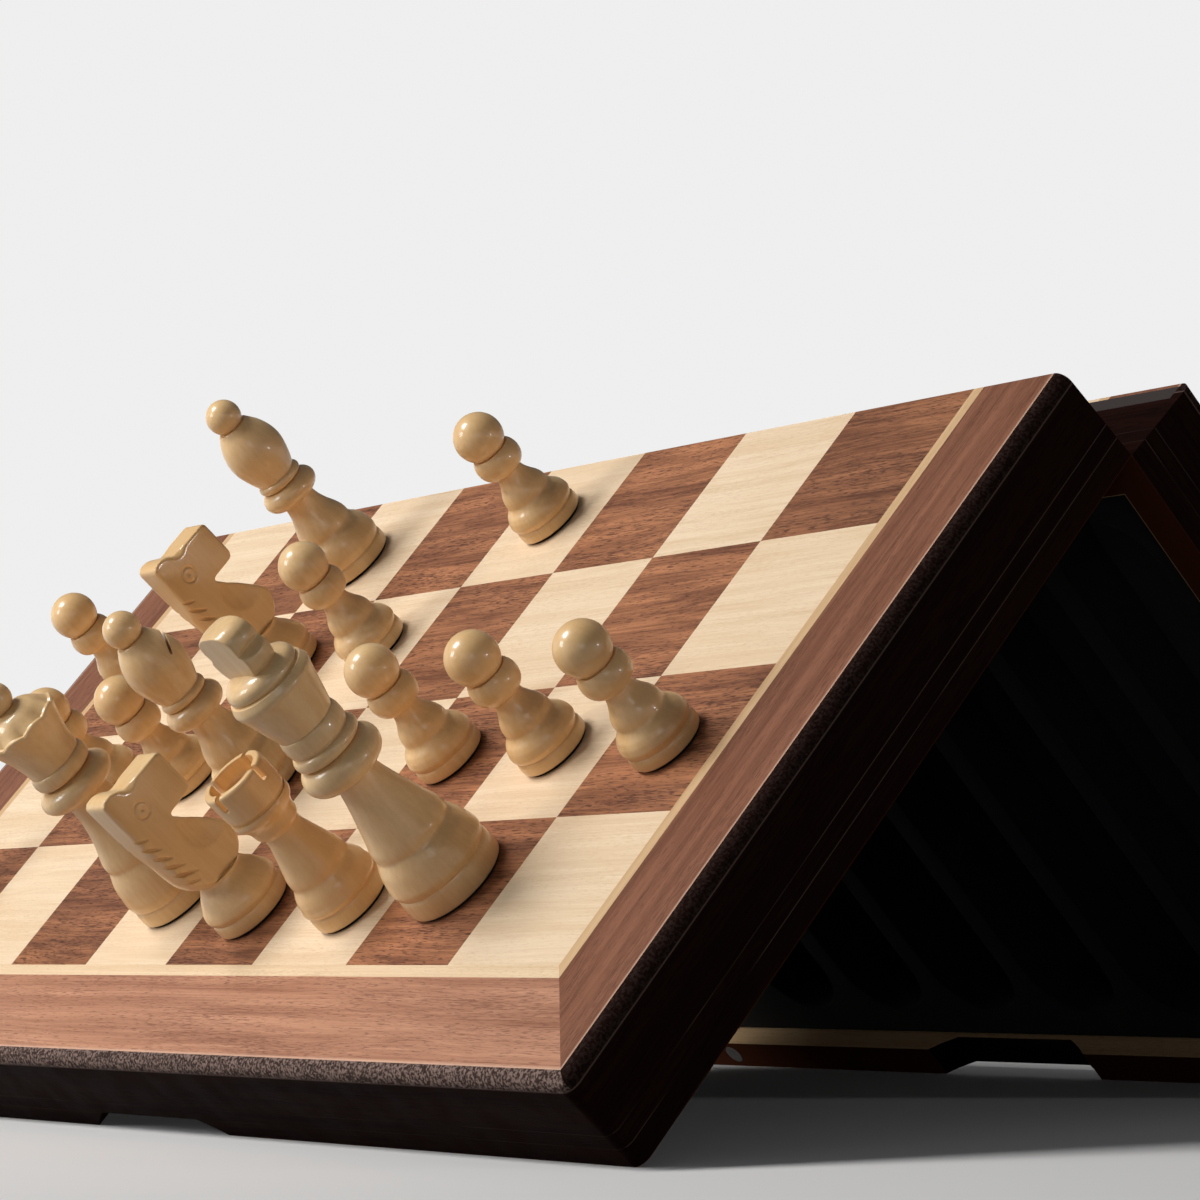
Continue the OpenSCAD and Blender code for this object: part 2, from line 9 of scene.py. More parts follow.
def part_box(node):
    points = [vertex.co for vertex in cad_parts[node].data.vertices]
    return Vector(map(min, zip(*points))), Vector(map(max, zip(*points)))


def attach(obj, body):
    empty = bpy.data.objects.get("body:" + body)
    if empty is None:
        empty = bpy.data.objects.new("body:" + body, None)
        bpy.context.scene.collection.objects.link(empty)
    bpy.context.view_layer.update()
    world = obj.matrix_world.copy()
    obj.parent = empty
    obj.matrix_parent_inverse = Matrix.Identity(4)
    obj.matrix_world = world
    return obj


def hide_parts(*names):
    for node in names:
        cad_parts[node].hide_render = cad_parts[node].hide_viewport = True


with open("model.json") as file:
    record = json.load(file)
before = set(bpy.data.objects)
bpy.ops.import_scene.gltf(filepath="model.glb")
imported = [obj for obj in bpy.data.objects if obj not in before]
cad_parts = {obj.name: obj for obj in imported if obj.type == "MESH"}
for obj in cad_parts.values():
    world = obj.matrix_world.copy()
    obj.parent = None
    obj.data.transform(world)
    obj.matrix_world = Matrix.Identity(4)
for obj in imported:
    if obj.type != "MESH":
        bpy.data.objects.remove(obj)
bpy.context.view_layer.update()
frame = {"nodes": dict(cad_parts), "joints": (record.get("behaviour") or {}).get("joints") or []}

# Sizes in millimetres, in one half laid flat: its rim is at z = 0 and its hinge edge at y = 0
MM = 0.001
SQUARE = 40.5
PLAY_X, PLAY_Y = 4 * SQUARE, 4 * SQUARE
LINE, BORDER, LIP = 3.2, 22.3, 3.0
LINE_X, LINE_Y = PLAY_X + LINE, PLAY_Y + LINE
CASE_X, CASE_Y = LINE_X + BORDER + LIP, LINE_Y + BORDER + LIP
HALF_DEPTH = 24.5
RAIL = 9.5
PANEL_Z = 19.5
INSERT_Z = 6.0
FELT = 0.8
RIM_GAP = 0.1
# How near to a face a point counts as on it
TOUCH = 0.15
HALVES = ("front", "rear")

joints = {j["name"]: j for j in frame["joints"]}
AXIS = Vector(joints["fold"]["pos_m"])
LIFT = joints["lift_king"]["axis"]
TILT = math.atan2(-LIFT[1], LIFT[2])


def lay(half):
    """From a half laid flat, in millimetres, to where it stands in the row frame."""
    turn = Matrix.Rotation(math.pi if half == "rear" else 0, 4, "Z")
    stand = Matrix.Translation(AXIS) @ turn @ Matrix.Rotation(TILT, 4, "X") @ Matrix.Scale(MM, 4)
    return stand @ Matrix.Translation((0, 0, RIM_GAP / 2))


# Colours and shader helpers


def srgb(r, g, b):
    def linear(v):
        v /= 255
        return v / 12.92 if v <= 0.04045 else ((v + 0.055) / 1.055) ** 2.4

    return (linear(r), linear(g), linear(b), 1.0)


class Web:
    """Adds nodes to a node tree and wires them as it goes."""

    def __init__(self, tree):
        self.tree = tree

    def add(self, kind, _set=None, **inputs):
        node = self.tree.nodes.new(kind)
        for key, value in (_set or {}).items():
            setattr(node, key, value)
        for key, value in inputs.items():
            self.feed(node.inputs[key.replace("_", " ")], value)
        return node

    def feed(self, socket, value):
        if isinstance(value, bpy.types.NodeSocket):
            self.tree.links.new(value, socket)
        elif value is not None:
            socket.default_value = value

    def math(self, operation, a, b=None, clamp=False):
        node = self.add("ShaderNodeMath", {"operation": operation, "use_clamp": clamp})
        for socket, value in zip(node.inputs, (a, b)):
            self.feed(socket, value)
        return node.outputs[0]

    def vector(self, operation, a, b=None, scale=None):
        node = self.add("ShaderNodeVectorMath", {"operation": operation})
        self.feed(node.inputs[0], a)
        self.feed(node.inputs[1], b)
        if scale is not None:
            self.feed(node.inputs["Scale"], scale)
        return node.outputs["Value" if operation == "LENGTH" else "Vector"]

    def split(self, vector):
        return self.add("ShaderNodeSeparateXYZ", Vector=vector).outputs

    def join(self, x, y, z):
        return self.add("ShaderNodeCombineXYZ", X=x, Y=y, Z=z).outputs[0]

    def blend(self, factor, a, b, mode="MIX"):
        node = self.add("ShaderNodeMix", {"data_type": "RGBA", "blend_type": mode})
        for socket, value in ((node.inputs[0], factor), (node.inputs[6], a), (node.inputs[7], b)):
            self.feed(socket, value)
        return node.outputs[2]

    def swap(self, factor, a, b):
        node = self.add("ShaderNodeMix", {"data_type": "VECTOR"})
        for socket, value in ((node.inputs[0], factor), (node.inputs[4], a), (node.inputs[5], b)):
            self.feed(socket, value)
        return node.outputs[1]

    def mix(self, factor, a, b):
        node = self.add("ShaderNodeMixShader")
        for socket, value in zip(node.inputs, (factor, a, b)):
            self.feed(socket, value)
        return node.outputs[0]

    def noise(self, vector, scale=1.0, detail=2.0, rough=0.5):
        return self.add("ShaderNodeTexNoise", Vector=vector, Scale=scale, Detail=detail,
                        Roughness=rough).outputs["Fac"]

    def ramp(self, value, low, high, to_low=0.0, to_high=1.0):
        node = self.add("ShaderNodeMapRange", {"interpolation_type": "SMOOTHSTEP"}, Value=value)
        limits = {"From Min": low, "From Max": high, "To Min": to_low, "To Max": to_high}
        for key, limit in limits.items():
            self.feed(node.inputs[key], limit)
        return node.outputs[0]


def group(name, inputs, outputs, build):
    """A shader node group: sockets as (name, type, default), built once."""
    tree = bpy.data.node_groups.new(name, "ShaderNodeTree")
    kinds = {"float": "NodeSocketFloat", "vector": "NodeSocketVector", "colour": "NodeSocketColor"}
    for label, kind, default in inputs:
        socket = tree.interface.new_socket(label, in_out="INPUT", socket_type=kinds[kind])
        if default is not None:
            socket.default_value = default
    for label, kind in outputs:
        tree.interface.new_socket(label, in_out="OUTPUT", socket_type=kinds[kind])
    web = Web(tree)
    source, sink = web.add("NodeGroupInput"), web.add("NodeGroupOutput")
    for label, value in build(web, source.outputs).items():
        tree.links.new(value, sink.inputs[label])
    return tree


def build_grain(web, given):
    """Wood, its grain along x, in millimetres: broad figure, fine lines and short open pores."""
    at = given["Place"]

    def stretched(length, width):
        return web.vector("DIVIDE", at, web.join(length, width, width))

    warp = web.noise(stretched(70.0, 14.0), detail=1.0)
    sway = web.math("MULTIPLY", web.math("SUBTRACT", warp, 0.5), given["Sway"])
    at = web.vector("ADD", at, web.join(0.0, sway, sway))
    length = given["Figure length"]
    figure = web.noise(stretched(length, given["Figure width"]), detail=3.0, rough=0.6)
    lines = web.noise(stretched(web.math("MULTIPLY", length, 0.6), given["Line width"]),
                      detail=3.0, rough=0.65)
    tone = web.math("ADD", web.math("MULTIPLY", web.ramp(figure, 0.28, 0.72), 0.55),
                    web.math("MULTIPLY", web.ramp(lines, 0.25, 0.75), 0.45))
    spread = web.math("MULTIPLY", web.math("SUBTRACT", tone, 0.5), given["Contrast"])
    tone = web.math("ADD", spread, 0.5, clamp=True)
    dashes = web.noise(stretched(given["Pore length"], given["Pore width"]), detail=1.0)
    patches = web.noise(stretched(60.0, 6.0), detail=1.0)
    drift = web.math("MULTIPLY", web.math("SUBTRACT", 0.5, patches), 0.3)
    level = web.math("ADD", given["Pore level"], drift)
    pores = web.ramp(dashes, level, web.math("ADD", level, 0.08))
    colour = web.blend(tone, given["Light"], given["Dark"])
    colour = web.blend(web.math("MULTIPLY", pores, given["Pore amount"]), colour, given["Pore"])
    height = web.math("SUBTRACT", web.math("MULTIPLY", lines, 0.25),
                      web.math("MULTIPLY", pores, given["Pore amount"]))
    return {"Colour": colour, "Pores": pores, "Tone": tone, "Height": height}


GRAIN = group(
    "wood grain",
    [("Place", "vector", None), ("Light", "colour", None), ("Dark", "colour", None),
     ("Pore", "colour", None), ("Figure length", "float", 90.0), ("Figure width", "float", 5.0),
     ("Line width", "float", 0.9), ("Sway", "float", 4.0), ("Contrast", "float", 1.0),
     ("Pore length", "float", 5.0), ("Pore width", "float", 0.3), ("Pore level", "float", 0.6),
     ("Pore amount", "float", 0.6)],
    [("Colour", "colour"), ("Pores", "float"), ("Tone", "float"), ("Height", "float")],
    build_grain)


FRESH_WOOD = 900.0  # how far apart, in millimetres, two squares may be cut from the plank


def build_cell(web, given):
    """Which square a point is in: a chance number for it, and its place in fresh wood."""
    squares = web.vector("DIVIDE", given["Place"], given["Size"])
    cell = web.vector("FLOOR", web.vector("ADD", squares, (0.0, 0.001, 0.0)))
    x, y, _ = web.split(cell)
    white = web.add("ShaderNodeTexWhiteNoise", {"noise_dimensions": "3D"},
                    Vector=web.join(x, y, given["Seed"])).outputs
    moved = web.vector("ADD", given["Place"], web.vector("SCALE", white["Color"], scale=FRESH_WOOD))
    return {"Chance": white["Value"], "Place": moved}


CELL = group(
    "piece of veneer",
    [("Place", "vector", None), ("Size", "vector", (SQUARE, SQUARE, 1000.0)),
     ("Seed", "float", 1.0)],
    [("Chance", "float"), ("Place", "vector")],
    build_cell)


def build_speckle(web, given):
    """Fine dimples in a sprayed or waxed finish."""
    fine = web.noise(given["Place"], scale=given["Frequency"], detail=2.0, rough=0.6)
    slow = web.math("MULTIPLY", given["Frequency"], 0.08)
    broad = web.noise(given["Place"], scale=slow, detail=2.0)
    height = web.math("ADD", web.math("MULTIPLY", fine, given["Fine"]),
                      web.math("MULTIPLY", broad, given["Broad"]))
    return {"Height": height, "Fine": fine, "Broad": broad}


SPECKLE = group(
    "finish texture",
    [("Place", "vector", None), ("Frequency", "float", 2.0), ("Fine", "float", 0.5),
     ("Broad", "float", 0.5)],
    [("Height", "float"), ("Fine", "float"), ("Broad", "float")],
    build_speckle)


def new_material(name):
    material = bpy.data.materials.new(name)
    material.use_nodes = True
    tree = material.node_tree
    tree.nodes.clear()
    web = Web(tree)
    shader = web.add("ShaderNodeBsdfPrincipled")
    output = web.add("ShaderNodeOutputMaterial")
    tree.links.new(shader.outputs[0], output.inputs[0])
    return material, web, shader


def flat_place(web, half):
    """Millimetres in the half laid flat, at any point of a piece that rides on it."""
    at = web.add("ShaderNodeTexCoord").outputs["Object"]
    node = web.add("ShaderNodeMapping", {"vector_type": "TEXTURE"}, Vector=at)
    node.inputs["Location"].default_value = AXIS
    node.inputs["Rotation"].default_value = (TILT, 0, math.pi if half == "rear" else 0)
    node.inputs["Scale"].default_value = (MM, MM, MM)
    return node.outputs[0]


def use(web, tree, **inputs):
    node = web.add("ShaderNodeGroup", {"node_tree": tree})
    for key, value in inputs.items():
        web.feed(node.inputs[key.replace("_", " ")], value)
    return node.outputs


def bump(web, shader, height, distance, strength):
    node = web.add("ShaderNodeBump", Height=height, Strength=strength, Distance=distance)
    web.feed(shader.inputs["Normal"], node.outputs[0])


def finish_with(shader, **values):
    for key, value in values.items():
        shader.inputs[key.replace("_", " ")].default_value = value


# Woods and other finishes


def turned_by_mitre(web, at, x0, y0):
    """The grain of a mitred frame: along x in the long strip, and along y in the two ends."""
    x, y, z = web.split(at)
    end = web.math("GREATER_THAN", web.math("SUBTRACT", web.math("ABSOLUTE", x), x0),
                   web.math("SUBTRACT", web.math("MULTIPLY", y, -1.0), y0))
    along_y = web.join(y, web.math("ADD", x, 300.0), z)
    return web.swap(end, at, along_y), end


def maple(half):
    material, web, shader = new_material("maple veneer " + half)
    cell = use(web, CELL, Place=flat_place(web, half), Seed=3.0)
    wood = use(web, GRAIN, Place=cell["Place"], Light=srgb(243, 221, 191), Dark=srgb(224, 196, 161),
               Pore=srgb(203, 170, 132), Figure_length=80.0, Figure_width=3.6, Line_width=0.42,
               Sway=4.0, Contrast=1.3, Pore_length=2.2,
               Pore_width=0.16, Pore_level=0.58, Pore_amount=0.4)
    colour = web.blend(cell["Chance"], wood["Colour"], srgb(230, 203, 168))
    colour = web.blend(0.3, wood["Colour"], colour)
    web.feed(shader.inputs["Base Color"], colour)
    web.feed(shader.inputs["Roughness"], web.ramp(wood["Tone"], 0.0, 1.0, 0.4, 0.5))
    finish_with(shader, Specular_IOR_Level=0.14)
    bump(web, shader, wood["Height"], 0.00003, 0.6)
    return material


def walnut_squares(half):
    material, web, shader = new_material("walnut veneer " + half)
    cell = use(web, CELL, Place=flat_place(web, half), Seed=8.0)
    wood = use(web, GRAIN, Place=cell["Place"], Light=srgb(182, 124, 88), Dark=srgb(110, 69, 50),
               Pore=srgb(80, 48, 35), Figure_length=55.0, Figure_width=4.2, Line_width=0.55,
               Sway=6.0, Contrast=1.4, Pore_length=3.2,
               Pore_width=0.24, Pore_level=0.57, Pore_amount=0.8)
    shade = web.ramp(cell["Chance"], 0.0, 1.0, 0.88, 1.08)
    web.feed(shader.inputs["Base Color"], web.vector("SCALE", wood["Colour"], scale=shade))
    web.feed(shader.inputs["Roughness"], web.ramp(wood["Pores"], 0.0, 1.0, 0.42, 0.6))
    finish_with(shader, Specular_IOR_Level=0.14)
    bump(web, shader, wood["Height"], 0.00005, 0.7)
    return material


def walnut_border(half):
    """The border is rolled over a little at its outer edge, and a pale painted highlight runs along
    it there.
    """
    material, web, shader = new_material("walnut border " + half)
    flat = flat_place(web, half)
    at, end = turned_by_mitre(web, flat, LINE_X, LINE_Y)
    wood = use(web, GRAIN, Place=at, Light=srgb(202, 150, 121), Dark=srgb(150, 102, 79),
               Pore=srgb(122, 78, 60), Figure_length=120.0, Figure_width=3.6, Line_width=0.42,
               Sway=4.0, Contrast=1.2, Pore_length=3.6,
               Pore_width=0.2, Pore_level=0.58, Pore_amount=0.65)
    # Painted shade: the end strips, their grain running along y, are made darker, as the light
    # falls less brightly across that grain
    dim = web.blend(1.0, wood["Colour"], srgb(186, 172, 166), "MULTIPLY")
    colour = web.blend(end, wood["Colour"], dim)
    x, y, _ = web.split(flat)
    reach = web.math("MAXIMUM", web.math("SUBTRACT", web.math("ABSOLUTE", x), CASE_X),
                     web.math("SUBTRACT", web.math("MULTIPLY", y, -1.0), CASE_Y))
    # Painted highlight: a pale line along the outer edge, where the rolled-over edge catches the
    # light
    painted_edge_highlight = web.ramp(reach, -LIP - 0.9, -LIP - 0.15, 0.0, 0.55)
    colour = web.blend(painted_edge_highlight, colour, srgb(232, 192, 168))
    web.feed(shader.inputs["Base Color"], colour)
    web.feed(shader.inputs["Roughness"], web.ramp(wood["Pores"], 0.0, 1.0, 0.4, 0.58))
    finish_with(shader, Specular_IOR_Level=0.14)
    bump(web, shader, wood["Height"], 0.00005, 0.7)
    return material


def stringing(half):
    material, web, shader = new_material("maple line " + half)
    at, end = turned_by_mitre(web, flat_place(web, half), PLAY_X, PLAY_Y)
    wood = use(web, GRAIN, Place=at, Light=srgb(242, 218, 184), Dark=srgb(220, 190, 152),
               Pore=srgb(186, 150, 112), Figure_length=120.0, Figure_width=2.4, Line_width=0.3,
               Sway=1.0, Contrast=1.0, Pore_length=2.4,
               Pore_width=0.14, Pore_level=0.6, Pore_amount=0.35)
    # Painted shade: the end strips, their grain running along y, are made darker, as on the border
    dim = web.blend(1.0, wood["Colour"], srgb(230, 216, 200), "MULTIPLY")
    web.feed(shader.inputs["Base Color"], web.blend(end, wood["Colour"], dim))
    web.feed(shader.inputs["Roughness"], web.ramp(wood["Tone"], 0.0, 1.0, 0.4, 0.5))
    finish_with(shader, Specular_IOR_Level=0.14)
    bump(web, shader, wood["Height"], 0.00003, 0.6)
    return material


def stained_rail(half, along):
    """Near-black stain under satin lacquer, thinner on the rim; the inner faces are bare wood. The
    lip has painted glints, and a painted highlight runs along its lower edge.
    """
    material, web, shader = new_material(f"stained rail {along} {half}")
    flat = flat_place(web, half)
    x, y, z = web.split(flat)
    at = flat if along == "x" else web.join(y, web.math("ADD", x, 700.0), z)
    stain = use(web, GRAIN, Place=at, Light=srgb(36, 18, 14), Dark=srgb(19, 9, 7),
                Pore=srgb(9, 5, 4), Figure_length=200.0, Figure_width=5.0, Line_width=0.7,
                Sway=3.0, Contrast=1.0, Pore_length=7.0,
                Pore_width=0.22, Pore_level=0.6, Pore_amount=0.7)
    bare = use(web, GRAIN, Place=at, Light=srgb(238, 204, 160), Dark=srgb(212, 172, 126),
               Pore=srgb(160, 118, 80), Figure_length=150.0, Figure_width=4.0, Line_width=0.5,
               Sway=3.0, Contrast=1.0, Pore_length=4.0,
               Pore_width=0.2, Pore_level=0.6, Pore_amount=0.4)
    inside = web.math("LESS_THAN", web.math("ABSOLUTE", x), CASE_X - RAIL + TOUCH)
    inside = web.math("MULTIPLY", inside, web.math("GREATER_THAN", y, RAIL - CASE_Y - TOUCH))
    inside = web.math("MULTIPLY", inside, web.math("LESS_THAN", y, TOUCH - RAIL))
    rim = web.math("LESS_THAN", z, TOUCH)
    texture = use(web, SPECKLE, Place=flat, Frequency=1.5, Fine=0.7, Broad=0.5)
    lip = web.math("GREATER_THAN", z, HALF_DEPTH - LIP)
    # Painted glints: pale specks on the lip, bright on the long rails and faint on the end rails,
    # where the light catches the lacquer
    painted_glint_strength, hairline = (0.8, 0.08) if along == "x" else (0.07, 0.36)
    painted_glints = web.math("MULTIPLY", lip, web.ramp(texture["Fine"], 0.42, 0.62, painted_glint_strength * 0.15, painted_glint_strength))
    colour = web.blend(painted_glints, stain["Colour"], srgb(150, 128, 120))
    # Two fine hairlines run the length of each rail, broken here and there
    drift = web.noise(web.vector("DIVIDE", at, (160.0, 60.0, 60.0)), detail=0.0)
    course = web.math("ADD", web.math("DIVIDE", z, 3.9), web.math("MULTIPLY", drift, 0.4))
    near = web.math("ABSOLUTE", web.math("SUBTRACT", web.math("FRACT", course), 0.5))
    broken = web.noise(web.vector("DIVIDE", at, (90.0, 30.0, 30.0)), detail=3.0, rough=0.7)
    hair = web.math("MULTIPLY", web.ramp(near, 0.034, 0.014),
                    web.ramp(broken, 0.4, 0.52, 0.0, hairline))
    band = web.math("MULTIPLY", web.math("GREATER_THAN", z, 3.5), web.math("LESS_THAN", z, 11.5))
    hair = web.math("MULTIPLY", hair, band)
    # Painted highlight: a thin pale line along the lip's lower edge, added to the hairlines
    arris = web.math("ABSOLUTE", web.math("SUBTRACT", z, HALF_DEPTH - LIP - 0.1))
    hair = web.math("MAXIMUM", hair, web.ramp(arris, 0.24, 0.1, 0.0, 0.45))
    colour = web.blend(hair, colour, srgb(128, 106, 96))
    colour = web.blend(web.math("MULTIPLY", rim, 0.55), colour, srgb(112, 60, 34))
    colour = web.blend(inside, colour, bare["Colour"])
    web.feed(shader.inputs["Base Color"], colour)
    rough = web.ramp(texture["Broad"], 0.3, 0.7, 0.38, 0.5)
    web.feed(shader.inputs["Roughness"], web.math("ADD", rough, web.math("MULTIPLY", inside, 0.2)))
    finish_with(shader, Specular_IOR_Level=0.004)
    height = web.math("ADD", texture["Height"], web.math("MULTIPLY", stain["Height"], 0.5))
    bump(web, shader, height, 0.00012, 0.7)
    return material


def boxwood():
    """Turned and varnished pale wood, its grain up each piece."""
    material, web, shader = new_material("varnished boxwood")
    cell = use(web, CELL, Place=flat_place(web, "front"), Size=(SQUARE, SQUARE, 1000.0), Seed=5.0)
    x, y, z = web.split(cell["Place"])
    wood = use(web, GRAIN, Place=web.join(z, x, y), Light=srgb(245, 212, 160),
               Dark=srgb(222, 180, 124), Pore=srgb(188, 140, 88),
               Figure_length=50.0, Figure_width=6.0, Line_width=1.1,
               Sway=3.0, Contrast=0.7, Pore_length=2.4,
               Pore_width=0.16, Pore_level=0.64, Pore_amount=0.2)
    tone = web.ramp(cell["Chance"], 0.0, 1.0, 0.0, 0.35)
    web.feed(shader.inputs["Base Color"], web.blend(tone, wood["Colour"], srgb(226, 176, 112)))
    web.feed(shader.inputs["Roughness"], web.ramp(wood["Tone"], 0.0, 1.0, 0.34, 0.42))
    finish_with(shader, Specular_IOR_Level=0.35, Coat_Weight=0.45, Coat_Roughness=0.1)
    texture = use(web, SPECKLE, Place=cell["Place"], Frequency=1.4, Fine=0.3, Broad=0.5)
    height = web.math("ADD", texture["Height"], web.math("MULTIPLY", wood["Height"], 0.15))
    bump(web, shader, height, 0.00007, 0.6)
    return material


def pressed_foam(half):
    material, web, shader = new_material("black flocked foam " + half)
    at = flat_place(web, half)
    nap = web.noise(at, scale=3.2, detail=4.0, rough=0.7)
    streak = web.noise(web.vector("DIVIDE", at, (40.0, 12.0, 12.0)), detail=2.0)
    colour = web.blend(web.ramp(nap, 0.3, 0.75), srgb(8, 8, 8), srgb(24, 22, 22))
    colour = web.blend(web.ramp(streak, 0.45, 0.75, 0.0, 0.3), colour, srgb(30, 28, 28))
    web.feed(shader.inputs["Base Color"], colour)
    web.feed(shader.inputs["Roughness"], web.ramp(nap, 0.2, 0.8, 0.85, 1.0))
    finish_with(shader, Specular_IOR_Level=0.15, Sheen_Weight=0.04, Sheen_Roughness=0.5)
    bump(web, shader, nap, 0.0003, 0.8)
    return material


def felt():
    material, web, shader = new_material("black felt and magnet")
    at = flat_place(web, "front")
    nap = web.noise(at, scale=4.5, detail=4.0, rough=0.7)
    web.feed(shader.inputs["Base Color"], web.blend(nap, srgb(10, 9, 9), srgb(32, 30, 28)))
    web.feed(shader.inputs["Roughness"], web.ramp(nap, 0.2, 0.8, 0.85, 1.0))
    finish_with(shader, Specular_IOR_Level=0.15, Sheen_Weight=0.06, Sheen_Roughness=0.5)
    bump(web, shader, nap, 0.0002, 0.8)
    return material


def metal(name, half, light, dark, rough, brushed):
    material, web, shader = new_material(f"{name} {half}")
    at = flat_place(web, half)
    lines = web.noise(web.vector("DIVIDE", at, brushed), detail=3.0, rough=0.6)
    stain = web.noise(at, scale=0.25, detail=3.0)
    colour = web.blend(lines, light, dark)
    colour = web.blend(web.ramp(stain, 0.55, 0.75, 0.0, 0.5), colour, dark)
    web.feed(shader.inputs["Base Color"], colour)
    finish_with(shader, Metallic=1.0)
    web.feed(shader.inputs["Roughness"], web.ramp(stain, 0.3, 0.7, rough, rough + 0.16))
    bump(web, shader, lines, 0.00002, 0.5)
    return material


def panel_wood(half):
    """Plywood at its edges, lined in black on the side that faces the tray."""
    material, web, shader = new_material("lined panel " + half)
    at = flat_place(web, half)
    wood = use(web, GRAIN, Place=at, Light=srgb(206, 172, 128), Dark=srgb(176, 138, 96),
               Pore=srgb(130, 94, 62), Figure_length=140.0, Figure_width=8.0, Line_width=1.0)
    nap = web.noise(at, scale=3.0, detail=4.0, rough=0.7)
    lining = web.blend(nap, srgb(8, 8, 8), srgb(24, 22, 22))
    _, y, z = web.split(at)
    lined = web.math("LESS_THAN", z, PANEL_Z + TOUCH)
    colour = web.blend(lined, wood["Colour"], lining)
    # The edge that shows beside the hinges is stained like the rails
    colour = web.blend(web.math("GREATER_THAN", y, -TOUCH), colour, srgb(30, 15, 12))
    web.feed(shader.inputs["Base Color"], colour)
    web.feed(shader.inputs["Roughness"], web.ramp(nap, 0.2, 0.8, 0.7, 0.9))
    bump(web, shader, web.math("MULTIPLY", nap, lined), 0.0002, 0.6)
    return material


# Shapes


def spline(points, steps=6):
    """A smooth curve through a list of points, as in the turned profiles."""
    out = []
    for i in range(len(points) - 1):
        a, b = points[max(i - 1, 0)], points[i]
        c, d = points[i + 1], points[min(i + 2, len(points) - 1)]
        for j in range(steps):
            t = j / steps
            out.append(tuple(
                (2 * b[k] + (c[k] - a[k]) * t + (2 * a[k] - 5 * b[k] + 4 * c[k] - d[k]) * t * t
                 + (3 * b[k] - a[k] - 3 * c[k] + d[k]) * t ** 3) / 2 for k in range(2)))
    return out + [tuple(points[-1])]


def bead(z0, z1, r0, r1, steps=14):
    """A rounded ring of radius and height, from z0 up to z1."""
    return [(r0 + (r1 - r0) * math.sin(math.pi * i / steps),
             z0 + (z1 - z0) * (1 - math.cos(math.pi * i / steps)) / 2) for i in range(steps + 1)]


def ball(radius, top, neck_r, steps=18):
    """The upper part of a ball, from where it meets a neck up to its top."""
    start = math.acos(min(neck_r / radius, 1.0))
    turns = (-start + (math.pi / 2 + start) * i / steps for i in range(steps))
    curve = [(radius * math.cos(a), top - radius + radius * math.sin(a)) for a in turns]
    return curve + [(0.0, top)]


def sphere(radius, centre, steps):
    """A whole ball on the axis of turning, its foot a hair flat."""
    turns = (math.pi * i / steps for i in range(1, steps))
    return ([(0.0, centre - radius + 0.01)]
            + [(radius * math.sin(a), centre - radius * math.cos(a)) for a in turns]
            + [(0.0, centre + radius)])


def base_rings(r, groove, shoulder):
    """The two rings of every base, from the felt up to the shoulder."""
    foot = groove - FELT
    return (spline([(r - 0.15, FELT), (r, FELT + foot * 0.15), (r, FELT + foot * 0.6),
                    (r - 0.15, groove - foot * 0.12)], 4)
            + [(r - 0.5, groove)]
            + spline([(r - 0.15, groove + 0.5), (r + 0.15, (groove + shoulder) / 2),
                      (r - 0.2, shoulder)], 5))


def loose(bm, name="blank"):
    """A plain object made of a bmesh, in its units: a throwaway one unless it's given a name."""
    mesh = bpy.data.meshes.new(name)
    bmesh.ops.recalc_face_normals(bm, faces=bm.faces)
    bm.to_mesh(mesh)
    bm.free()
    obj = bpy.data.objects.new(name, mesh)
    bpy.context.scene.collection.objects.link(obj)
    return obj


def make_object(name, bm, material, matrix, smooth=True, crease=38):
    """A bmesh in millimetres as a finished object in the row frame, smooth between creases."""
    obj = loose(bm, name)
    obj.data.transform(matrix)
    obj.data.materials.append(material)
    if smooth:
        obj.data.shade_smooth()
        obj.data.set_sharp_from_angle(angle=math.radians(crease))
    return obj


def add_lathe(bm, outline, segments=96, dent=None):
    """A closed turned solid from points of radius and height, which dent moves by their angle."""
    rings = []
    for r, z in outline:
        if r < 1e-6:
            rings.append([bm.verts.new((0, 0, z))])
            continue
        ring = []
        for i in range(segments):
            a = 2 * math.pi * i / segments
            rr, zz = dent(r, z, a) if dent else (r, z)
            ring.append(bm.verts.new((rr * math.cos(a), rr * math.sin(a), zz)))
        rings.append(ring)
    for low, high in zip(rings, rings[1:]):
        if len(low) == 1 and len(high) == 1:
            continue
        for i in range(segments):
            j = (i + 1) % segments
            if len(low) == 1:
                bm.faces.new((low[0], high[i], high[j]))
            elif len(high) == 1:
                bm.faces.new((low[i], low[j], high[0]))
            else:
                bm.faces.new((low[i], low[j], high[j], high[i]))
    for ring, flip in ((rings[0], True), (rings[-1], False)):
        if len(ring) > 1:
            bm.faces.new(ring[::-1] if flip else ring)


def add_prism(bm, outline, y0, y1):
    """A flat outline of x and z, extruded along y."""
    near = [bm.verts.new((x, y0, z)) for x, z in outline]
    far = [bm.verts.new((x, y1, z)) for x, z in outline]
    bm.faces.new(near)
    bm.faces.new(far[::-1])
    for i in range(len(outline)):
        j = (i + 1) % len(outline)
        bm.faces.new((near[j], near[i], far[i], far[j]))


def lathe_mesh(outline, segments=96, dent=None):
    bm = bmesh.new()
    add_lathe(bm, outline, segments, dent)
    return bm


def settle(obj):
    """Applies an object's modifiers and returns the result as a bmesh, removing the object."""
    bpy.context.view_layer.update()
    graph = bpy.context.evaluated_depsgraph_get()
    mesh = bpy.data.meshes.new_from_object(obj.evaluated_get(graph))
    bm = bmesh.new()
    bm.from_mesh(mesh)
    bpy.data.meshes.remove(mesh)
    bpy.data.objects.remove(obj)
    return bm


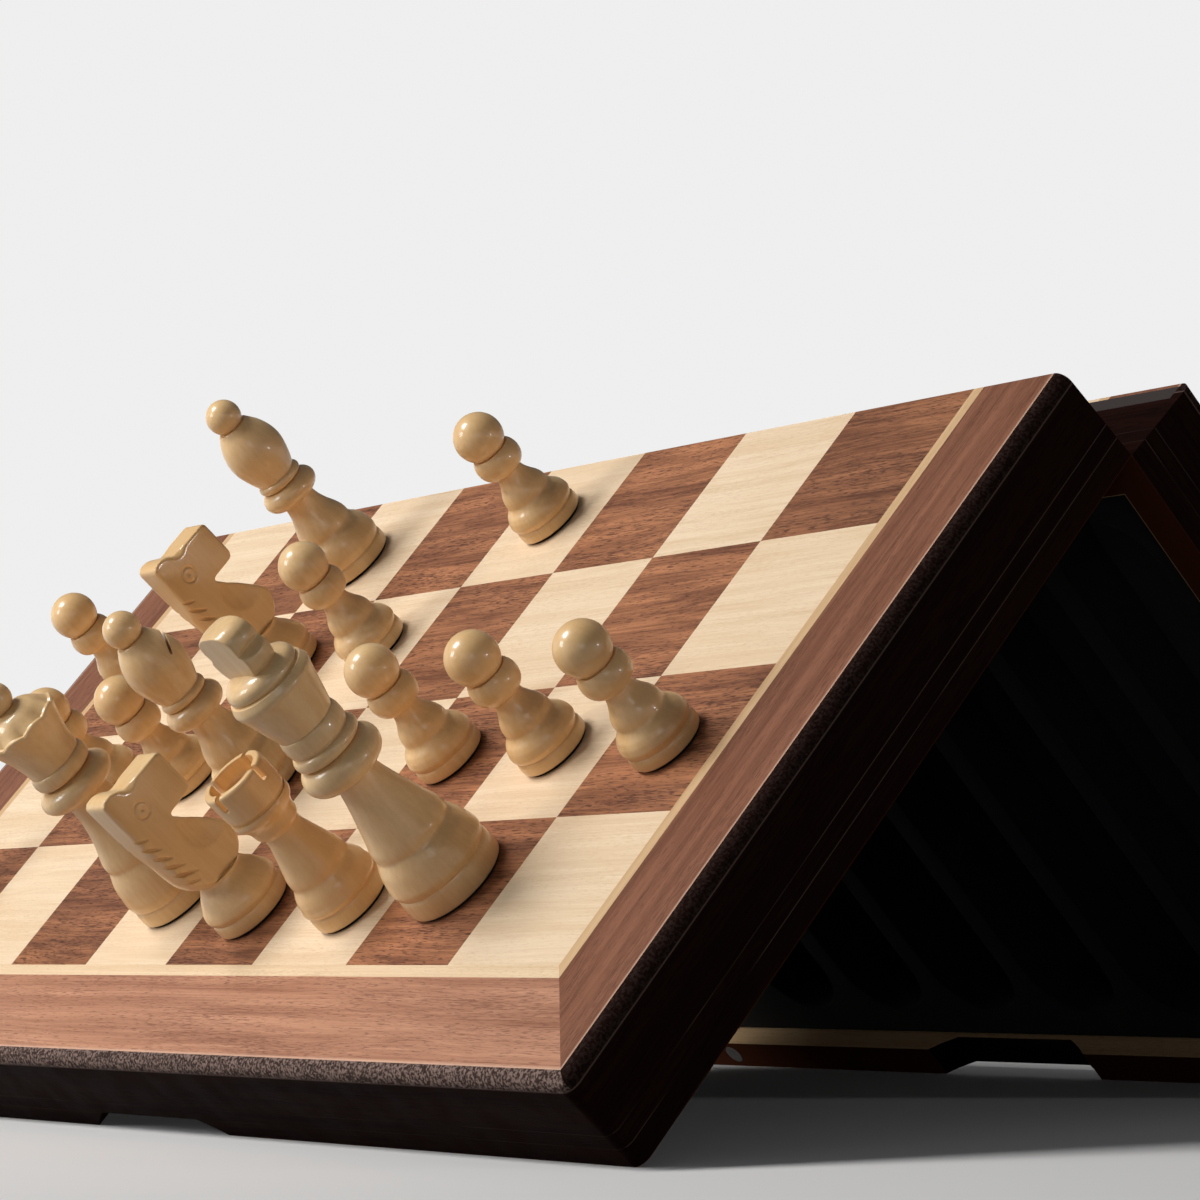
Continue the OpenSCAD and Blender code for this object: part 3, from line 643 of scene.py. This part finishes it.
def cut(body, tool, operation="DIFFERENCE"):
    """Cuts one throwaway object by another, or keeps what they share."""
    modifier = body.modifiers.new("cut", "BOOLEAN")
    modifier.operation, modifier.solver, modifier.object = operation, "EXACT", tool
    bm = settle(body)
    bpy.data.objects.remove(tool)
    return loose(bm)


def soften(obj, grain=0.2, passes=2):
    """Rounds every edge a little, as sanding does, by remeshing finely and smoothing."""
    remesh = obj.modifiers.new("remesh", "REMESH")
    remesh.mode, remesh.voxel_size, remesh.adaptivity = "VOXEL", grain, 0.0
    sanding = obj.modifiers.new("sand", "SMOOTH")
    sanding.factor, sanding.iterations = 0.5, passes
    return settle(obj)


def block(low, high, degrees=0.0, axis="Z", move=(0, 0, 0)):
    """A box to cut with, turned about the origin and then moved."""
    bm = bmesh.new()
    bmesh.ops.create_cube(bm, size=1)
    bmesh.ops.scale(bm, vec=[h - l for l, h in zip(low, high)], verts=bm.verts)
    bmesh.ops.translate(bm, vec=[(l + h) / 2 for l, h in zip(low, high)], verts=bm.verts)
    turn = Matrix.Rotation(math.radians(degrees), 3, axis)
    bmesh.ops.rotate(bm, cent=(0, 0, 0), matrix=turn, verts=bm.verts)
    bmesh.ops.translate(bm, vec=move, verts=bm.verts)
    return loose(bm)


def merged(*parts):
    """Several bmeshes as one, each a closed shell."""
    bm = bmesh.new()
    for part in parts:
        mesh = bpy.data.meshes.new("part")
        part.to_mesh(mesh)
        part.free()
        bm.from_mesh(mesh)
        bpy.data.meshes.remove(mesh)
    return bm


# Chessmen: radius and height above the playing surface

PAWN = (base_rings(8.6, 3.7, 6.7)
        + spline([(8.25, 7), (7.7, 7.9), (6.75, 8.9), (6.25, 9.7), (6.15, 10.6), (5.95, 11.7),
                  (5.45, 12.9), (4.7, 14.1), (3.9, 15.7), (3.45, 17.3)])
        + bead(17.6, 24.9, 3.5, 6.1)[:-3] + ball(6.2, 34.7, 4.3))

BISHOP_BODY = (base_rings(10.3, 4.2, 8.6)
               + spline([(9.75, 9.6), (9.2, 10.7), (8.1, 11.9), (7.6, 12.9), (7.55, 14),
                         (7.3, 15.3), (6.6, 17.1), (5.6, 19.2), (4.8, 21.6), (4.4, 24.2)])
               + bead(24.5, 30.3, 4.8, 7.9) + bead(30.4, 32.7, 5.4, 6.3))
BISHOP_MITRE = [(0.0, 31.9), (5.4, 32)] + spline(
    [(5.7, 33.1), (6.4, 34.8), (7.1, 36.9), (7.7, 39.4), (7.8, 41.8), (7.3, 44.4), (6.2, 47.1),
     (4.3, 50)], 8)

ROOK_BODY = (base_rings(9.7, 4.5, 6.9)
             + spline([(9.4, 8), (8.9, 9.3), (8.15, 10.6), (7.7, 11.6), (7.65, 12.8), (7.4, 14.3),
                       (6.85, 16), (6.1, 18.3), (5.4, 20.6), (4.8, 22.8), (4.6, 24.6)])
             + spline([(5, 25), (5.6, 26), (5.9, 27.8), (6.4, 28.9), (7.3, 30), (7.7, 31),
                       (7.6, 32)]))
ROOK_CROWN = ([(0.0, 31.2), (7.2, 31.4), (7.2, 32.4)]
              + spline([(7.6, 32.9), (7.75, 34.8), (7.8, 37.8), (7.8, 40), (7.4, 40.8)])
              + [(0.0, 40.8)])

ROOK_BOWL = [(0.0, 36)] + spline([(4.2, 36.2), (5.6, 37), (6, 38.2), (6, 42)], 5) + [(0.0, 42)]

QUEEN_BODY = (base_rings(12, 4.8, 9.6)
              + spline([(11.65, 11), (11.1, 12.9), (10.2, 14.9), (9.6, 16.2), (9.6, 17.5),
                        (9.35, 19), (8.6, 20.9), (7.5, 23.6), (6.5, 27), (5.8, 30.6), (5.5, 35)])
              + bead(35.4, 41.4, 6, 10) + bead(42, 45.8, 6.9, 7.7)
              + spline([(7, 46.2), (7.3, 48.8), (8, 52), (9.1, 55.4), (10.1, 57.9), (9.9, 58.6)]))
QUEEN_DOME = spline([(9.2, 58.7), (8.4, 59.5), (7, 61), (5.2, 62.2), (3.4, 62.8)], 5)

KING_BODY = (base_rings(12, 6, 9.6)
             + spline([(11.5, 10.8), (11, 12.4), (10.2, 14), (9.55, 15.2), (9.55, 16.4),
                       (9.35, 17.8), (8.6, 20), (7.3, 24.2), (6.1, 28.4), (5.3, 31.8), (5, 34)])
             + bead(34.2, 41.2, 6.4, 9.8) + bead(41.3, 44.4, 7, 8.2) + bead(44.6, 49.2, 6.9, 7.5)
             + spline([(7, 49.5), (7.6, 51.6), (8.4, 54.6), (9.2, 57.6), (9.8, 59.4), (9.8, 60.4),
                       (9.2, 61.8)])
             + [(8.3, 62.1)]
             + spline([(8.6, 62.5), (8.6, 63.4), (8, 64.6), (6.4, 65.6), (4.4, 66.2)], 5))
KING_CROSS = ([(0.0, 64.6)] + spline([(5.2, 64.6), (6.6, 66.4), (7.3, 68.8), (7.2, 70.6)])
              + spline([(6.6, 71.8), (6.8, 73.6), (6.2, 75.4), (4.4, 76.7), (1.6, 77)])
              + [(0.0, 77)])

KNIGHT_BASE = (base_rings(9.9, 4.1, 7.1)
               + spline([(9, 8.2), (8, 9.8), (6.8, 11.3), (6.1, 12.5), (6, 13.3)]))
KNIGHT_BLANK = [(0.0, 13)] + spline(
    [(5.9, 13), (6.9, 13.9), (8.3, 15.5), (9.4, 17.7), (9.9, 20.3), (10.4, 25.1), (11.3, 33.1),
     (11.6, 47.1)]) + [(0.0, 47.1)]


def pawn():
    return lathe_mesh(PAWN)


def bishop():
    slit = block((-0.35, -12, 0), (0.35, 12, 10), 27, "Y", (4.5, 0, 42.5))
    mitre = cut(loose(lathe_mesh(BISHOP_MITRE)), slit)
    return merged(lathe_mesh(BISHOP_BODY), soften(mitre), lathe_mesh(sphere(4.6, 53.3, 24)))


def rook():
    crown = cut(loose(lathe_mesh(ROOK_CROWN)), loose(lathe_mesh(ROOK_BOWL)))
    for degrees in (0, 90):
        crown = cut(crown, block((-12, -0.65, 37), (12, 0.65, 43), degrees))
    return merged(lathe_mesh(ROOK_BODY), soften(crown))


def queen():
    scallops = 9

    def dent(r, z, a):
        """Nine shallow scallops in the rim of the coronet."""
        near = max(0.0, 1 - abs(z - 58.4) / 3.2) if r > 6 else 0.0
        wave = abs(math.cos(scallops * (a - math.radians(20)) / 2))
        return r - 0.55 * near * (1 - wave) * min(1.0, (r - 6) / 3), z - 0.9 * near * (1 - wave)

    return merged(lathe_mesh(QUEEN_BODY + QUEEN_DOME, 108, dent), lathe_mesh(sphere(4.1, 66.2, 22)))


def king():
    slab = block((-12, -3.5, 63), (12, 3.5, 78))
    cross = cut(loose(lathe_mesh(KING_CROSS)), slab, "INTERSECT")
    for side in (-1, 1):
        cross = cut(cross, block((-2.2, -5, -2.2), (2.2, 5, 2.2), 45, "Y", (side * 8.6, 0, 71.2)))
    return merged(lathe_mesh(KING_BODY), soften(cross))


# The knight's half thickness, and its outline in x and z, from the back over the poll to the chest
CHEEK = 4.5
KNIGHT_OUTLINE = (
    [(-10.8, 12.1), (-10.8, 44.3)]
    + spline([(-10.6, 45.1), (-9.4, 45.9), (-7.2, 45.9), (-5.4, 45.1), (-4, 44)])
    + [(7.2, 43.9)]
    + spline([(7.8, 43.5), (8.1, 42.7), (8.2, 38.1), (8.1, 33.9), (7.6, 32.7), (6.8, 32.2)])
    + [(-0.2, 32.1), (-0.3, 31.5)]
    + spline([(1.6, 29.1), (4.4, 26.1), (7, 22.7), (8.8, 19.7), (9.6, 17.1), (9.6, 12.1)]))
# The gouges of the mane, from its edge down the cheek
MANE = (((-11.6, 34.1), (-8.1, 32.3)), ((-10.8, 31), (-7.3, 28.4)), ((-10.8, 28), (-6.8, 25)),
        ((-10.8, 25), (-5.8, 21.9)), ((-10.8, 22.1), (-4.5, 18.4)), ((-10.8, 19.5), (-5.8, 16.7)))
EYE = (-4.4, 37.9)
# Scoops in each cheek: place in x and z, radius of the gouge's sweep, and depth
SCOOPS = ((3.2, 25.5, 20.0, 0.9), (-2.4, 46.0, 4.2, 1.5))


def scoop(x, z, radius, depth, side):
    bm = bmesh.new()
    bmesh.ops.create_icosphere(bm, subdivisions=5, radius=radius)
    bmesh.ops.translate(bm, vec=(x, side * (CHEEK + radius - depth), z), verts=bm.verts)
    return loose(bm)


def gouge(start, end, side):
    """A narrow wedge that cuts a V groove in one cheek, widest and deepest at the mane's edge."""
    bm = bmesh.new()
    (x0, z0), (x1, z1) = start, end
    along = Vector((x1 - x0, 0, z1 - z0)).normalized()
    across = Vector((-along.z, 0, along.x))
    head, tail = Vector((x0, 0, z0)) - along * 2.5, Vector((x1, 0, z1))
    skin, rows, tip = side * (CHEEK + 0.6), [], []
    for p, half_width, depth in ((head, 1.3, 3.4), (tail, 0.4, 0.45)):
        rows.append([bm.verts.new(p + across * half_width * s + Vector((0, skin, 0)))
                     for s in (-1, 1)])
        tip.append(bm.verts.new(p + Vector((0, side * (CHEEK - depth), 0))))
    bm.faces.new((rows[0][0], rows[0][1], rows[1][1], rows[1][0]))
    for row, point in zip(rows, tip):
        bm.faces.new((row[0], row[1], point))
    for k in (0, 1):
        bm.faces.new((rows[0][k], rows[1][k], tip[1], tip[0]))
    return bm


def eye_ring(side):
    """A ring and a centre point, to be let a little into the cheek."""
    bm = bmesh.new()
    rings, around, tube = 40, 8, 0.38
    verts = []
    for i in range(rings):
        a = 2 * math.pi * i / rings
        row = []
        for j in range(around):
            b = 2 * math.pi * j / around
            r = 1.95 + tube * math.cos(b)
            row.append(bm.verts.new((EYE[0] + r * math.cos(a), side * CHEEK + tube * math.sin(b),
                                     EYE[1] + r * math.sin(a))))
        verts.append(row)
    for i in range(rings):
        for j in range(around):
            k, m = (i + 1) % rings, (j + 1) % around
            bm.faces.new((verts[i][j], verts[k][j], verts[k][m], verts[i][m]))
    dot = bmesh.new()
    bmesh.ops.create_icosphere(dot, subdivisions=2, radius=0.5)
    bmesh.ops.translate(dot, vec=(EYE[0], side * (CHEEK + 0.1), EYE[1]), verts=dot.verts)
    return merged(bm, dot)


def knight():
    side = bmesh.new()
    add_prism(side, KNIGHT_OUTLINE, -CHEEK, CHEEK)
    head = cut(loose(lathe_mesh(KNIGHT_BLANK, 72)), loose(side), "INTERSECT")
    for s in (-1, 1):
        for place in SCOOPS:
            head = cut(head, scoop(*place, s))
    head = loose(soften(head, 0.35, 6))
    marks = [gouge(start, end, s) for s in (-1, 1) for start, end in MANE]
    marks += [eye_ring(s) for s in (-1, 1)]
    head = cut(head, loose(merged(*marks)))
    return merged(lathe_mesh(KNIGHT_BASE), soften(head, passes=1))


def stands(piece):
    """Where a chessman's base stands in the front half laid flat, from the disc under it."""
    low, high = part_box(piece + "_magnet")
    spot = lay("front").inverted() @ ((low + high) / 2)
    return Vector((spot.x, spot.y, HALF_DEPTH))


# Each man, what makes it, and how many degrees it's turned on its square
MEN = [("king", king, 0), ("queen", queen, 12), ("bishop_c", bishop, 160),
       ("bishop_d", bishop, 67), ("knight_c", knight, 90), ("knight_e", knight, 90),
       ("rook_a", rook, 30), ("rook_f", rook, 17)]
MEN += [("pawn_" + letter, pawn, 0) for letter in "abcdefgh"]

varnish = boxwood()
for name, make, turn in MEN:
    matrix = lay("front") @ Matrix.Translation(stands(name))
    matrix = matrix @ Matrix.Rotation(math.radians(turn), 4, "Z")
    man = make_object(name + "_turned", make(), varnish, matrix)
    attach(man, name + "_piece")
    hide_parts(name)


# The insert: one flocked sheet, its slots cut through with round ends

SLOTS, SLOT_W, SLOT_PITCH = 9, 30.0, 38.5
PLAY = 0.3
INSERT_X, INSERT_Y0, INSERT_Y1 = CASE_X - RAIL - PLAY, RAIL + PLAY, CASE_Y - RAIL - PLAY
SLOT_END = 9.0
FOAM_EDGE = 0.7


def slot_outline(x):
    """A long slot with half-round ends, as points of x and y."""
    low, high = SLOT_END - INSERT_Y1 + SLOT_W / 2, -INSERT_Y0 - SLOT_END - SLOT_W / 2
    turns = [(high, i / 24 * math.pi) for i in range(25)]
    turns += [(low, math.pi + i / 24 * math.pi) for i in range(25)]
    return [(x + SLOT_W / 2 * math.cos(a), y + SLOT_W / 2 * math.sin(a)) for y, a in turns]


def foam_sheet():
    """The sheet with its holes, every cut edge a little rounded."""
    curve = bpy.data.curves.new("foam", "CURVE")
    curve.dimensions, curve.fill_mode = "2D", "BOTH"
    curve.extrude = (PANEL_Z - INSERT_Z) / 2 - FOAM_EDGE
    curve.bevel_depth, curve.bevel_resolution, curve.offset = FOAM_EDGE, 3, -FOAM_EDGE
    outlines = [[(-INSERT_X, -INSERT_Y1), (INSERT_X, -INSERT_Y1),
                 (INSERT_X, -INSERT_Y0), (-INSERT_X, -INSERT_Y0)]]
    outlines += [slot_outline((i - (SLOTS - 1) / 2) * SLOT_PITCH) for i in range(SLOTS)]
    for outline in outlines:
        line = curve.splines.new("POLY")
        line.points.add(len(outline) - 1)
        for point, (x, y) in zip(line.points, outline):
            point.co = (x, y, 0, 1)
        line.use_cyclic_u = True
    obj = bpy.data.objects.new("foam", curve)
    bpy.context.scene.collection.objects.link(obj)
    bm = settle(obj)
    bpy.data.curves.remove(curve)
    bmesh.ops.remove_doubles(bm, verts=bm.verts, dist=0.001)
    bmesh.ops.translate(bm, vec=(0, 0, (PANEL_Z + INSERT_Z) / 2), verts=bm.verts)
    return bm


for half in HALVES:
    foam = make_object(half + "_foam", foam_sheet(), pressed_foam(half), lay(half), crease=50)
    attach(foam, half + "_half")
    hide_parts(half + "_foam_insert")


# The hinge screws, with their slotted heads

HINGE_X, SCREW_PITCH, SCREW_Y = CASE_X - 78.5, 18.0, 5.35


def slotted_screw(turn):
    """A countersunk screw pointing up from the rim, with plain rings for its thread."""
    shank = [(1.0 if i % 2 else 0.78, 1.1 + i * 0.32) for i in range(22)]
    outline = [(0.0, 0.0), (1.75, 0.0), (1.9, 0.12), (1.0, 0.95)] + shank + [(0.1, 9.0), (0.0, 9.0)]
    slot = block((-2.5, -0.22, -0.5), (2.5, 0.22, 0.45), math.degrees(turn))
    return settle(cut(loose(lathe_mesh(outline, 40)), slot))


SCREW_XS = sorted(s * HINGE_X + i * SCREW_PITCH for s in (-1, 1) for i in (-1, 0, 1))
for half in HALVES:
    screws = []
    for k, x in enumerate(SCREW_XS):
        screw = slotted_screw(0.4 + 1.1 * k)
        bmesh.ops.translate(screw, vec=(x, -SCREW_Y, 0), verts=screw.verts)
        screws.append(screw)
    brass = metal("brass screw", half, srgb(214, 178, 104), srgb(160, 124, 66), 0.28,
                  (6.0, 0.4, 0.4))
    piece = make_object(half + "_slotted_screws", merged(*screws), brass, lay(half), crease=30)
    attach(piece, half + "_half")
    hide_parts(half + "_hinge_screws")


# What the frame already shapes well gets its finish


def dress(node, material):
    obj = frame["nodes"][node]
    for place in obj.material_slots:
        place.material = material


STEEL = (srgb(176, 178, 180), srgb(120, 122, 124), 0.35)
MAGNET = (srgb(128, 127, 122), srgb(84, 82, 76), 0.3)
BRASS = (srgb(206, 170, 98), srgb(150, 116, 62), 0.3)

for half in HALVES:
    dress(half + "_outer_rail", stained_rail(half, "x"))
    dress(half + "_hinge_rail", stained_rail(half, "x"))
    dress(half + "_end_rails", stained_rail(half, "y"))
    dress(half + "_board_panel", panel_wood(half))
    dress(half + "_steel_sheet", metal("steel sheet", half, *STEEL, (40.0, 0.3, 0.3)))
    dress(half + "_maple_squares", maple(half))
    dress(half + "_walnut_squares", walnut_squares(half))
    dress(half + "_stringing", stringing(half))
    dress(half + "_walnut_border", walnut_border(half))
    dress(half + "_closing_magnets", metal("closing magnet", half, *MAGNET, (0.8, 0.8, 0.8)))
    dress(half + "_hinge_leaves", metal("brass leaf", half, *BRASS, (30.0, 0.3, 0.3)))
dress("hinge_pins", metal("brass pin", "front", *BRASS, (20.0, 0.3, 0.3)))
baize = felt()
for name, _, _ in MEN:
    dress(name + "_magnet", baize)


# The room: a pale floor that can't be seen from below, an even pale surround, and soft lamps

FLOOR_TONE, FLOOR_BOUNCE, FLOOR_HALF = 0.78, 0.18, 9.0
SEEN, OVERHEAD = (0.86, 0.86, 0.86, 1.0), (0.12, 0.12, 0.12, 1.0)
LIGHTING = (0.06, 0.06, 0.061, 1.0)


def pale_floor():
    """Pale to the eye and in reflections, but dim to the light that it throws back."""
    material, web, shader = new_material("pale floor")
    at = web.add("ShaderNodeTexCoord").outputs["Object"]
    cloud = web.noise(at, scale=1.5, detail=2.0)
    tone = web.ramp(cloud, 0.3, 0.7, FLOOR_TONE - 0.01, FLOOR_TONE + 0.01)
    rays = web.add("ShaderNodeLightPath").outputs
    seen = web.math("MAXIMUM", rays["Is Camera Ray"], rays["Is Glossy Ray"])
    seen = web.math("MAXIMUM", seen, rays["Is Transmission Ray"])
    lift = web.math("MULTIPLY", seen, web.math("SUBTRACT", tone, FLOOR_BOUNCE))
    tone = web.math("ADD", FLOOR_BOUNCE, lift)
    web.feed(shader.inputs["Base Color"], web.join(tone, tone, tone))
    finish_with(shader, Roughness=0.9)
    # Far from the set, past the lamps' reach, the floor turns into the plain pale backdrop
    away = web.ramp(web.vector("LENGTH", at), 0.3, 1.15)
    glow = web.add("ShaderNodeEmission", Color=SEEN).outputs[0]
    lit = web.mix(web.math("MULTIPLY", seen, away), shader.outputs[0], glow)
    clear = web.add("ShaderNodeBsdfTransparent").outputs[0]
    back = web.add("ShaderNodeNewGeometry").outputs["Backfacing"]
    output = next(n for n in web.tree.nodes if n.bl_idname == "ShaderNodeOutputMaterial")
    web.feed(output.inputs[0], web.mix(back, lit, clear))
    return material


ground = bmesh.new()
bmesh.ops.create_grid(ground, x_segments=1, y_segments=1, size=FLOOR_HALF)
floor = make_object("floor", ground, pale_floor(), Matrix.Identity(4), smooth=False)

world = bpy.data.worlds.new("surround")
bpy.context.scene.world = world
world.use_nodes = True
world.node_tree.nodes.clear()
sky = Web(world.node_tree)
rays = sky.add("ShaderNodeLightPath").outputs
mirrored = sky.math("MAXIMUM", rays["Is Glossy Ray"], rays["Is Transmission Ray"])
height = sky.split(sky.add("ShaderNodeTexCoord").outputs["Generated"])["Z"]
shown = sky.blend(sky.ramp(height, 0.12, 0.4), SEEN, OVERHEAD)
tone = sky.blend(rays["Is Camera Ray"], sky.blend(mirrored, LIGHTING, shown), SEEN)
air = sky.add("ShaderNodeBackground", Color=tone)
sky.tree.links.new(air.outputs[0], sky.add("ShaderNodeOutputWorld").inputs[0])


def lamp(name, at, size, power, tone=(1.0, 1.0, 1.0), towards=(0.0, 0.0, 0.1)):
    """A square soft lamp, in metres and watts, turned to face a point."""
    light = bpy.data.lights.new(name, "AREA")
    light.shape, light.size, light.energy, light.color = "SQUARE", size, power, tone
    obj = bpy.data.objects.new(name, light)
    bpy.context.scene.collection.objects.link(obj)
    obj.location = at
    obj.rotation_euler = (Vector(towards) - Vector(at)).to_track_quat("-Z", "Y").to_euler()


lamp("key", (-0.64, -1.29, 1.32), 0.6, 30.5, (1.0, 0.985, 0.97))
lamp("side", (-0.7, -1.45, 0.47), 0.42, 7.5)
lamp("fill", (1.6, -1.16, 0.3), 0.5, 1.2)
lamp("glint", (1.83, 0.74, 0.42), 0.12, 3.0)


# The camera, placed from the front half laid flat, as the photograph shows it

CAMERA_AT = Vector((761.28, -425.78, 328.45))
CAMERA_RIGHT = Vector((0.5666, 0.5412, -0.6213))
CAMERA_UP = Vector((0.0799, 0.7144, 0.6952))
LENS, SENSOR = 111.29, 36.0

camera = bpy.data.objects.new("camera", bpy.data.cameras.new("camera"))
bpy.context.scene.collection.objects.link(camera)
camera.data.lens, camera.data.sensor_width = LENS, SENSOR
camera.data.clip_start, camera.data.clip_end = 0.01, 100.0
stand = lay("front")
turned = stand.to_3x3().normalized()
right = (turned @ CAMERA_RIGHT).normalized()
back = right.cross((turned @ CAMERA_UP).normalized()).normalized()
facing = Matrix((right, back.cross(right), back)).transposed().to_4x4()
camera.matrix_world = Matrix.Translation(stand @ CAMERA_AT) @ facing
bpy.context.scene.camera = camera
bpy.context.scene.view_settings.view_transform = "Standard"
